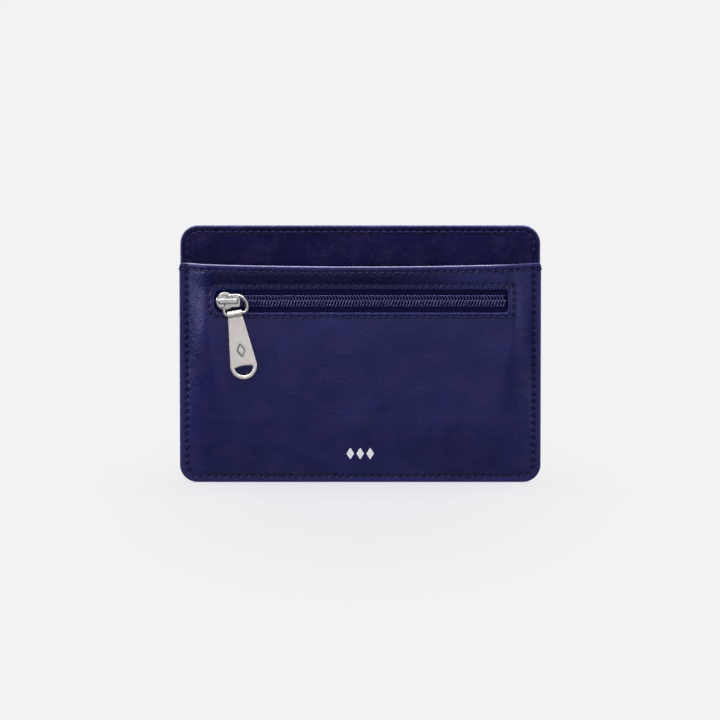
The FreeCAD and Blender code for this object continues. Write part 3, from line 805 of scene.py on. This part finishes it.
def build_linings():
    """The pocket's front lining and the two sheets of the zipped pocket's bag."""
    low, high = box_mm("zip_pocket_front_lining")
    bag_front = rectangle(low[[0, 2]], high[[0, 2]], (6.7, 6.7, 0.3, 0.3))
    for name, node, outline, thickness, rise in (
        ("pocket_lining_sheet", "pocket_lining", pocket_outline(0.3, 1.2, 0.6), 0.4, INNER_RISE),
        ("zip_bag_rear_sheet", "zip_pocket_rear_lining", pocket_outline(0.3, 3.0, 0.6), 0.22, INNER_RISE),
        ("zip_bag_front_sheet", "zip_pocket_front_lining", bag_front, 0.22, OUTER_RISE),
    ):
        build_lining(name, node, outline, box_mm(node)[0][1] + rise, thickness, rise)


# ---- Thread ----

def stitches(track, surface_at, way):
    """Lockstitches along a track. surface_at(places) gives the Y they lie on; way is -1 on the
    front and 1 on the back. Each one rises from a hole, lies on the leather and dives again."""
    count = round(track.length / STITCH_PITCH)
    pitch = track.length / count
    parts = []
    shares = np.linspace(0.0, 1.0, 13)
    lift = np.sin(math.pi * shares) ** 0.45
    for index in range(count):
        place, ahead = track.at(index * pitch + pitch * (0.04 + 0.92 * shares))
        side = np.stack([-ahead[:, 1], ahead[:, 0]], 1)
        lean = 0.13 * (1.0 - 2.0 * shares)
        place = place + side * lean[:, None]
        depth = -STITCH_DEPTH + (STITCH_DEPTH + 0.62 * THREAD_RADIUS) * lift
        y = surface_at(place) + way * depth
        path = np.stack([place[:, 0], y, place[:, 1]], 1)
        radius = THREAD_RADIUS * (0.78 + 0.22 * lift)
        parts.append(tube(path, radius, sides=9, ripple=ply_ripple))
    return parts


def ply_ripple(k, angles):
    """Three twisted plies."""
    return 1.0 + 0.13 * np.cos(3.0 * (angles + 0.42 * k))


def thread_piece(name, node, parts):
    places, faces = joined(parts)
    make_piece(name, node, places, faces, "holder", THREAD_MATERIAL, sharp=80.0)


def panel_y(places):
    return panel_surface(places, holes=False)[0]


def build_threads():
    front = [part for part in stitches(SEAM_TRACK, panel_y, -1) if part[0][:, 2].max() < HEM_Z - 0.3]
    front += [part for part in stitches(SEAM_TRACK, facing_y, -1) if part[0][:, 2].min() > HEM_Z + 0.3]
    thread_piece("stitches_front", "thread_front_seam", front)
    thread_piece("stitches_back", "thread_back_seam", stitches(SEAM_TRACK, cover_y, 1))
    thread_piece("stitches_zip_window", "thread_zip_window", stitches(WINDOW_SEAM_TRACK, panel_y, -1))
    thread_piece("stitches_hem", "thread_hem", stitches(HEM_TRACK, panel_y, -1) + hem_ends())


def facing_y(places):
    return REAR_WALL_Y + stitch_dent(SEAM_TRACK, places, 0.26, 0.85, 0.0)[0]


def cover_y(places):
    return COVER_HIGH[1] - stitch_dent(SEAM_TRACK, places, 0.42, 0.8, 0.0)[0]


def hem_ends():
    """The hem's thread, turned round the side edges of the front panel."""
    parts = []
    z = HEM_Z - HEM_SEAM_DROP
    for side in (-1, 1):
        edge = side * (HALF_WIDTH + 0.1)
        turn = [
            (side * (HALF_WIDTH - 1.3), SEAM_Y - 0.12), (side * (HALF_WIDTH - 0.5), SEAM_Y - 0.02),
            (edge, SEAM_Y + 0.55), (edge, SEAM_Y + 1.6), (edge, SEAM_Y + 2.7),
            (side * (HALF_WIDTH - 0.4), SEAM_Y + 3.4),
        ]
        path = np.array([(x, y, z) for x, y in turn])
        fine = np.linspace(0, len(path) - 1, 20)
        path = np.stack([np.interp(fine, range(len(path)), path[:, axis]) for axis in range(3)], 1)
        parts.append(tube(path, THREAD_RADIUS, sides=9, ripple=ply_ripple))
    return parts


# ---- Zip ----

def build_tapes():
    for name, node in (("upper_tape_weave", "zip_tape_upper"), ("lower_tape_weave", "zip_tape_lower")):
        low, high = box_mm(node)

        def surfaces(places, distances):
            x, z = places[:, 0], places[:, 1]
            front = TAPE_FRONT_Y + OUTER_RISE * (1.0 - bulge(x, z)) + roll(distances[0], 0.15)
            back = front + TAPE - 2.0 * roll(distances[0], 0.15)
            return front, back, {}

        outline = rectangle(low[[0, 2]], high[[0, 2]], 0.4)
        places, faces, _ = slab(outline, [], surfaces, 0.8, 0.5, (0.08, 0.2))
        make_piece(name, node, places, faces, "holder", TAPE_MATERIAL)


COIL_WIRE = 0.28
COIL_OUTER = 1.85            # from the zip's centre line to the middle of the outer bends
COIL_HEAD = 0.2              # and to where the strands turn into the heads
COIL_LEAN = 0.55
COIL_HEAD_REACH = 0.42       # how far a head reaches past the strands' ends
COIL_HEAD_SWELL = 1.12       # a head's thickness, in wires
COIL_FRONT_Y = TAPE_FRONT_Y - 0.8
COIL_REAR_Y = TAPE_FRONT_Y - 0.33


def coil_path(side, start, end):
    """One nylon filament wound in flattened turns. Each runs in along the front to a head at the
    centre, round it, back out behind itself, and bends over to the next turn."""
    middle_y = (COIL_FRONT_Y + COIL_REAR_Y) / 2.0
    half_y = (COIL_REAR_Y - COIL_FRONT_Y) / 2.0
    bend = np.linspace(0.0, math.pi, 7)
    strand = np.linspace(0.0, 1.0, 6)
    run = COIL_HEAD - COIL_OUTER
    path, size = [], []
    for turn in range(math.ceil((end - start) / COIL_PITCH)):
        x = start + turn * COIL_PITCH
        for share in strand:
            path.append((x + COIL_LEAN * share, COIL_FRONT_Y, COIL_OUTER + run * share))
            size.append(COIL_WIRE)
        for angle in bend[1:-1]:
            y = middle_y - half_y * math.cos(angle)
            past = math.sin(angle)
            path.append((x + COIL_LEAN * (1.0 + 0.2 * past), y, COIL_HEAD - COIL_HEAD_REACH * past))
            size.append(COIL_HEAD_SWELL * COIL_WIRE)
        for share in strand[::-1]:
            path.append((x + COIL_LEAN * share, COIL_REAR_Y, COIL_OUTER + run * share))
            size.append(COIL_WIRE)
        for angle in bend[1:-1]:
            y = middle_y + half_y * math.cos(angle)
            path.append((x + COIL_PITCH * angle / math.pi, y, COIL_OUTER + 0.2 * math.sin(angle)))
            size.append(COIL_WIRE)
    path = np.array(path)
    path[:, 2] = ZIP_Z + side * path[:, 2]
    return path, np.array(size)


def build_coils():
    """The two interlocked coils, half a turn apart, each on its tape."""
    for side, name, node in ((1, "upper_coil", "zip_coil_upper"), (-1, "lower_coil", "zip_coil_lower")):
        low, high = box_mm(node)
        start = low[0] + 0.3 + (0.0 if side > 0 else COIL_PITCH / 2.0)
        path, size = coil_path(side, start, high[0])
        places, faces = tube(path, size, sides=8)
        make_piece(name, node, places, faces, "holder", NYLON_MATERIAL, sharp=80.0)


# ---- Slider, ring and tab ----

SLIDER_TAIL = 2.45                      # half the width of the slider's tail
SLIDER_PLATE = 0.8                      # thickness of its two plates


def slider_outline():
    """Round head, waist and narrower tail."""
    left, right = SLIDER_LOW[0], SLIDER_HIGH[0]
    low, high = SLIDER_LOW[2], SLIDER_HIGH[2]
    neck, waist = left + 4.6, left + 6.4
    tail_low, tail_high = ZIP_Z - SLIDER_TAIL, ZIP_Z + SLIDER_TAIL
    head = 0.98 * ((high - low) / 2.0)
    return rounded([
        (left, low, head), (neck, low, 2.2), (waist, tail_low, 2.0), (right, tail_low, 0.9),
        (right, tail_high, 0.9), (waist, tail_high, 2.0), (neck, high, 2.2), (left, high, head),
    ])


def plate(outline, holes, front_y, back_y, front_round, back_round, dish=None, step=0.35, edge=0.2):
    """Metal plate with rounded edges; dish(places) adds depth to its front."""
    def surfaces(places, distances):
        near = np.minimum.reduce(distances)
        front = np.full(len(places), front_y) + roll(near, front_round)
        shade = np.zeros(len(places))
        if dish:
            deep, shade = dish(places)
            front = front + deep
        back = np.full(len(places), back_y) - roll(near, back_round)
        return front, back, {"seam": shade}

    return slab(outline, holes, surfaces, step, edge, arc_rings(front_round, 30, 50, 70, 90))


def build_slider():
    """Cast slider: domed front plate, rear plate, the slim post between them and side flanges."""
    left, front_y, rear_y = SLIDER_LOW[0], SLIDER_LOW[1], SLIDER_HIGH[1]
    outline = slider_outline()
    head = np.array([left + (SLIDER_HIGH[2] - SLIDER_LOW[2]) / 2.0, ZIP_Z])

    def dish(places):
        gap = np.linalg.norm(places - head, axis=1)
        rim = np.exp(-((gap - 2.55) / 0.35) ** 2)
        return 0.05 * np.clip(1.0 - gap / 2.5, 0.0, 1.0) ** 0.5 - 0.04 * rim, np.zeros(len(places))

    post = rounded([
        (left + 0.6, ZIP_Z, 0.1), (left + 1.4, ZIP_Z - 0.45, 0.2),
        (left + 2.2, ZIP_Z, 0.1), (left + 1.4, ZIP_Z + 0.45, 0.2),
    ])
    parts = [
        plate(outline, [], front_y, front_y + SLIDER_PLATE, 0.38, 0.1, dish, 0.25, 0.16)[:2],
        plate(outline, [], rear_y - SLIDER_PLATE, rear_y, 0.15, 0.35)[:2],
        plate(post, [], front_y + 0.6, rear_y - 0.6, 0.05, 0.05)[:2],
    ]
    for side in (-1, 1):
        inner, outer = ZIP_Z + side * 2.75, ZIP_Z + side * 3.32
        low, high = min(inner, outer), max(inner, outer)
        strip = rectangle((left + 1.9, low), (left + 5.2, high), 0.25)
        parts.append(plate(strip, [], front_y + 0.5, TAPE_FRONT_Y - 0.12, 0.05, 0.12, None, 0.3, 0.15)[:2])
    places, faces = joined(parts)
    make_piece("slider_casting", "slider_body", places, faces, "slider", POLISHED_MATERIAL)


def build_crown():
    """Arch of the slider, bowed and rounded, drawn in side view and given its width along Z."""
    left, right = CROWN_LOW[0], CROWN_HIGH[0]
    base, top = CROWN_HIGH[1], CROWN_LOW[1]
    post, arch = 1.0, 0.9
    outline = rounded([
        (left, -base, 0.15), (left + post, -base, 0.1), (left + post, -top - arch, 0.35),
        (right - post, -top - arch, 0.35), (right - post, -base, 0.1), (right, -base, 0.15),
        (right, -top, 0.95), (left, -top, 0.8),
    ])
    half = (CROWN_HIGH[2] - CROWN_LOW[2]) / 2.0

    def surfaces(places, distances):
        inset = roll(distances[0], 0.3)
        return -half + inset, half - inset, {}

    places, faces, _ = slab(outline, [], surfaces, 0.25, 0.15, arc_rings(0.3, 30, 50, 70, 90))
    placed = np.stack([places[:, 0], -places[:, 2], ZIP_Z + places[:, 1]], 1)
    faces = [tuple(face[::-1]) for face in faces]
    make_piece("slider_arch", "slider_crown", placed, faces, "slider", POLISHED_MATERIAL)


def hinge_line(joint):
    """A hinge's place in millimetres and its lean from +X in the XZ plane, in radians."""
    place = np.array(JOINTS[joint]["pos_m"]) / MM
    axis = np.array(JOINTS[joint]["axis"])
    return place, math.atan2(-axis[2], -axis[0])


RING_WIRE = 0.65                        # radius of the wire
RING_UPPER, RING_LOWER = 2.6, -2.3      # ends of the straight run under the crown, from its middle


def build_ring():
    """Wire ring: straight under the crown, straight in the tab's roll."""
    cross, lean = hinge_line("ring_swing")
    bar, tilt = hinge_line("tab_swing")
    left, right = bar[0] - 3.9, bar[0] + 4.8
    top = cross[2] + RING_UPPER * math.sin(lean)
    outline = rounded([
        (left, bar[2] + (left - bar[0]) * math.tan(tilt), 1.0),
        (right, bar[2] + (right - bar[0]) * math.tan(tilt), 1.4),
        (right, top, 4.2),
        (cross[0] + RING_UPPER * math.cos(lean), top, 1.3),
        (cross[0] + RING_LOWER * math.cos(lean), cross[2] + RING_LOWER * math.sin(lean), 1.5),
    ])
    path = Track(outline, True).spaced(0.22)
    path = np.stack([path[:, 0], np.full(len(path), cross[1]), path[:, 1]], 1)
    places, faces = tube(path, RING_WIRE, closed=True, sides=20)
    make_piece("ring_wire", "pull_ring", places, faces, "ring", POLISHED_MATERIAL, sharp=80.0)


def build_tab():
    """Flared pull tab: bevelled plate with a D hole and a pressed lozenge, rolled round the ring."""
    bar, tilt = hinge_line("tab_swing")
    length, top_half, end_radius = 26.0, 2.8, 5.3
    centre = end_radius - length
    away = math.hypot(top_half, centre)
    tangent = math.atan2(-centre, top_half) - math.acos(end_radius / away)
    sweep = np.linspace(-math.pi - tangent, tangent, 40)
    end = np.stack([end_radius * np.cos(sweep), centre + end_radius * np.sin(sweep)], 1)
    outline = np.vstack([end, [(top_half, -0.2)], [(-top_half, -0.2)]])
    hole_radius, hole_top = 3.75, 0.45
    flat = centre - hole_top
    half = math.sqrt(hole_radius ** 2 - hole_top ** 2)
    depth = math.acos(hole_top / hole_radius)
    sweep = np.linspace(-math.pi / 2 - depth, -math.pi / 2 + depth, 30)
    hole = np.stack([hole_radius * np.cos(sweep), centre + hole_radius * np.sin(sweep)], 1)
    crown = np.linspace(half, -half, 14)[1:-1]
    bowed = np.stack([crown, flat + 0.5 * (1.0 - (crown / half) ** 2)], 1)
    hole = np.vstack([hole, bowed])
    hole = smooth_loop(hole, 0.5)
    lozenge = rounded([(-1.5, -14.6, 0.2), (0.0, -17.2, 0.2), (1.5, -14.6, 0.2), (0.0, -12.0, 0.2)])
    lozenge_track = Track(lozenge, True)

    def dish(places):
        gap = lozenge_track.nearest(places)[0]
        groove = np.exp(-(gap / 0.22) ** 2)
        return 0.16 * groove, 0.95 * groove

    places, faces, marks = plate(outline, [hole], 0.25, 1.35, 0.42, 0.2, dish, 0.4, 0.22)
    roll_sides = 40
    angles = np.arange(roll_sides) * 2.0 * math.pi / roll_sides
    profile = [(0.76, 0.0), (1.24, 0.0), (1.36, 0.05), (1.4, 0.17)]
    rings = [(r, inset - top_half) for r, inset in profile]
    rings += [(r, top_half - inset) for r, inset in profile[::-1]]
    barrel = np.vstack([
        np.stack([np.full(roll_sides, x), r * np.cos(angles), r * np.sin(angles)], 1) for r, x in rings
    ])
    barrel_faces = []
    for k in range(len(rings)):
        for s in range(roll_sides):
            a, b = k * roll_sides + s, k * roll_sides + (s + 1) % roll_sides
            nxt = (k + 1) % len(rings)
            barrel_faces.append((a, nxt * roll_sides + s, nxt * roll_sides + (s + 1) % roll_sides, b))
    parts_places, parts_faces = joined([(places, faces), (barrel, barrel_faces)])
    seam = np.r_[marks["seam"], np.zeros(len(barrel))]
    c, s = math.cos(tilt), math.sin(tilt)
    x, y, z = parts_places.T
    placed = np.stack([bar[0] + c * x - s * z, bar[1] + y, bar[2] + s * x + c * z], 1)
    make_piece(
        "tab_plate", "pull_tab", placed, parts_faces, "tab", SATIN_MATERIAL, {"seam": seam}
    )


def smooth_loop(loop, step):
    """Rounds the corners of a closed loop a little."""
    loop = Track(loop, True).spaced(step * 0.4)
    for _ in range(12):
        loop = 0.5 * loop + 0.25 * (np.roll(loop, 1, 0) + np.roll(loop, -1, 0))
    return loop


# ---- Foil ----

def build_foil():
    """Three plain lozenges pressed into the leather."""
    pitch, half_width, half_height = 3.9, 1.5, 2.4
    middle_x = (FOIL_LOW[0] + FOIL_HIGH[0]) / 2.0
    middle_z = (FOIL_LOW[2] + FOIL_HIGH[2]) / 2.0
    parts = []
    for place in (-1, 0, 1):
        x = middle_x + place * pitch
        loop = rounded([
            (x - half_width, middle_z, 0.15), (x, middle_z - half_height, 0.15),
            (x + half_width, middle_z, 0.15), (x, middle_z + half_height, 0.15),
        ])

        def surfaces(places, distances):
            y = panel_y(places)
            return y - 0.05 + roll(distances[0], 0.04), y + 0.02, {}

        places, faces, _ = slab(loop, [], surfaces, 0.4, 0.3, (0.04, 0.15))
        parts.append((places, faces))
    places, faces = joined(parts)
    make_piece("pressed_lozenges", "foil_mark", places, faces, "holder", FOIL_MATERIAL)


def finish_cad_nodes():
    """Hidden pieces keep their CAD shape and take a finish."""
    for node, material in (
        ("stiffener_board", BOARD_MATERIAL),
        ("zip_stop_closed_end", POLISHED_MATERIAL),
        ("zip_stop_open_end", POLISHED_MATERIAL),
    ):
        materials = frame["nodes"][node].data.materials
        materials.clear()
        materials.append(material)


# ---- Stage, light and camera ----
PALE = 0.888
VIEW_ELEVATION = 4.0
LENS = 200.0
SENSOR = 36.0
VIEW_WIDTH = 283.2           # millimetres across the picture at the holder's rear wall
AIM_X = -0.1
AIM_Z = 48.05


def put_on_stage(stage, lights):
    """The camera sees a stage object, and only soft light may bounce off it."""
    stage.visible_diffuse = lights
    stage.visible_glossy = False
    stage.visible_transmission = False
    stage.visible_shadow = False
    bpy.context.scene.collection.objects.link(stage)


def glow_material(name):
    material = bpy.data.materials.new(name)
    material.use_nodes = True
    tree = material.node_tree
    tree.nodes.clear()
    glow = tree.nodes.new("ShaderNodeEmission")
    glow.inputs["Color"].default_value = (PALE, PALE, PALE, 1.0)
    out = tree.nodes.new("ShaderNodeOutputMaterial")
    tree.links.new(glow.outputs[0], out.inputs["Surface"])
    return material, tree, glow


def build_floor():
    """Pale floor whose only tone is the soft shade around what stands on it."""
    mesh = bpy.data.meshes.new("studio_floor")
    size = 4.5
    corners = [(-size, -size, 0), (size, -size, 0), (size, size, 0), (-size, size, 0)]
    mesh.from_pydata(corners, [], [(0, 1, 2, 3)])
    material, tree, glow = glow_material("pale_floor")
    near = tree.nodes.new("ShaderNodeAmbientOcclusion")
    near.inputs["Distance"].default_value = 0.1
    near.samples = 16
    ramp = tree.nodes.new("ShaderNodeValToRGB")
    ramp.color_ramp.elements[0].position = 0.0
    ramp.color_ramp.elements[0].color = (0.74, 0.725, 0.79, 1.0)
    ramp.color_ramp.elements[1].position = 0.95
    ramp.color_ramp.elements[1].color = (PALE, PALE, PALE, 1.0)
    place = tree.nodes.new("ShaderNodeTexCoord")
    squeeze = tree.nodes.new("ShaderNodeMapping")
    squeeze.inputs["Scale"].default_value = (1.0 / 0.115, 1.0 / 0.42, 1.0)
    away = tree.nodes.new("ShaderNodeVectorMath")
    away.operation = "LENGTH"
    wide = tree.nodes.new("ShaderNodeMapRange")
    wide.interpolation_type = "SMOOTHSTEP"
    wide.inputs["From Min"].default_value = 0.15
    wide.inputs["From Max"].default_value = 1.0
    wide.inputs["To Min"].default_value = 1.0
    wide.inputs["To Max"].default_value = 0.0
    shade = tree.nodes.new("ShaderNodeMix")
    shade.data_type = "RGBA"
    shade.blend_type = "MULTIPLY"
    shade.inputs[7].default_value = (0.945, 0.938, 0.972, 1.0)
    tree.links.new(place.outputs["Object"], squeeze.inputs["Vector"])
    tree.links.new(squeeze.outputs[0], away.inputs[0])
    tree.links.new(away.outputs["Value"], wide.inputs["Value"])
    tree.links.new(wide.outputs[0], shade.inputs[0])
    tree.links.new(near.outputs["AO"], ramp.inputs[0])
    tree.links.new(ramp.outputs[0], shade.inputs[6])
    tree.links.new(shade.outputs[2], glow.inputs["Color"])
    mesh.materials.append(material)
    floor = bpy.data.objects.new("studio_floor", mesh)
    floor.location.z = -0.0002
    put_on_stage(floor, True)


def build_backdrop():
    """Pale dome round the studio."""
    rows, columns, size = 16, 32, 4.0
    places = []
    for row in range(rows + 1):
        up = math.pi * (row / rows - 0.5)
        flat = size * math.cos(up)
        for column in range(columns):
            turn = 2.0 * math.pi * column / columns
            places.append((flat * math.cos(turn), flat * math.sin(turn), size * math.sin(up)))
    faces = [
        (row * columns + column, row * columns + (column + 1) % columns,
         (row + 1) * columns + (column + 1) % columns, (row + 1) * columns + column)
        for row in range(rows) for column in range(columns)
    ]
    mesh = bpy.data.meshes.new("studio_backdrop")
    mesh.from_pydata(places, [], faces)
    mesh.materials.append(glow_material("pale_backdrop")[0])
    put_on_stage(bpy.data.objects.new("studio_backdrop", mesh), False)


def build_world():
    """Dim room around the lamps."""
    world = bpy.data.worlds.new("studio")
    bpy.context.scene.world = world
    world.use_nodes = True
    world.node_tree.nodes["Background"].inputs["Color"].default_value = (0.10, 0.10, 0.12, 1.0)


def area_light(name, place, aim, width, height, power):
    light = bpy.data.lights.new(name, "AREA")
    light.shape = "RECTANGLE"
    light.size, light.size_y = width, height
    light.energy = power
    lamp = bpy.data.objects.new(name, light)
    lamp.location = place
    lamp.rotation_euler = (Vector(aim) - Vector(place)).to_track_quat("-Z", "Y").to_euler()
    lamp.visible_camera = False
    bpy.context.scene.collection.objects.link(lamp)


def build_lights():
    """Softboxes. Each one's power is its brightness times pi times its area."""
    middle = (0.0, 0.0, 0.05)
    for name, place, width, height, brightness in (
        ("card_front", (0.1, -2.6, 0.3), 2.4, 1.7, 0.7),
        ("card_low", (0.0, -1.45, -1.5), 2.2, 0.9, 0.4),
        ("softbox_top_left", (-0.55, -0.75, 0.85), 0.4, 0.4, 8.0),
        ("softbox_left", (-0.87, -0.29, 0.23), 0.38, 0.16, 12.6),
        ("softbox_right", (0.8, -0.45, 0.25), 0.5, 0.7, 1.4),
        ("softbox_top", (0.0, -0.1, 0.9), 1.3, 0.6, 8.5),
        ("softbox_rim_left", (-0.8, 0.55, 0.25), 0.3, 0.6, 6.0),
        ("softbox_rim_right", (0.8, 0.55, 0.25), 0.3, 0.6, 5.0),
        ("card_back", (-0.6, 2.4, 0.9), 2.0, 1.4, 0.9),
    ):
        area_light(name, place, middle, width, height, brightness * math.pi * width * height)


def build_camera():
    data = bpy.data.cameras.new("camera")
    data.lens = LENS
    data.sensor_width = SENSOR
    data.clip_end = 100.0
    camera = bpy.data.objects.new("camera", data)
    distance = VIEW_WIDTH * LENS / SENSOR
    up = math.radians(VIEW_ELEVATION)
    aim = Vector((AIM_X, REAR_WALL_Y, AIM_Z)) * MM
    camera.location = aim + Vector((0.0, -math.cos(up), math.sin(up))) * distance * MM
    camera.rotation_euler = (aim - camera.location).to_track_quat("-Z", "Y").to_euler()
    bpy.context.scene.collection.objects.link(camera)
    bpy.context.scene.camera = camera


def main():
    build_camera()
    build_world()
    build_lights()
    build_floor()
    build_backdrop()
    build_front_panel()
    build_back_facing()
    build_back_cover()
    build_linings()
    build_threads()
    build_tapes()
    build_coils()
    build_slider()
    build_crown()
    build_ring()
    build_tab()
    build_foil()
    finish_cad_nodes()
    bpy.context.scene.view_settings.view_transform = "Standard"


main()
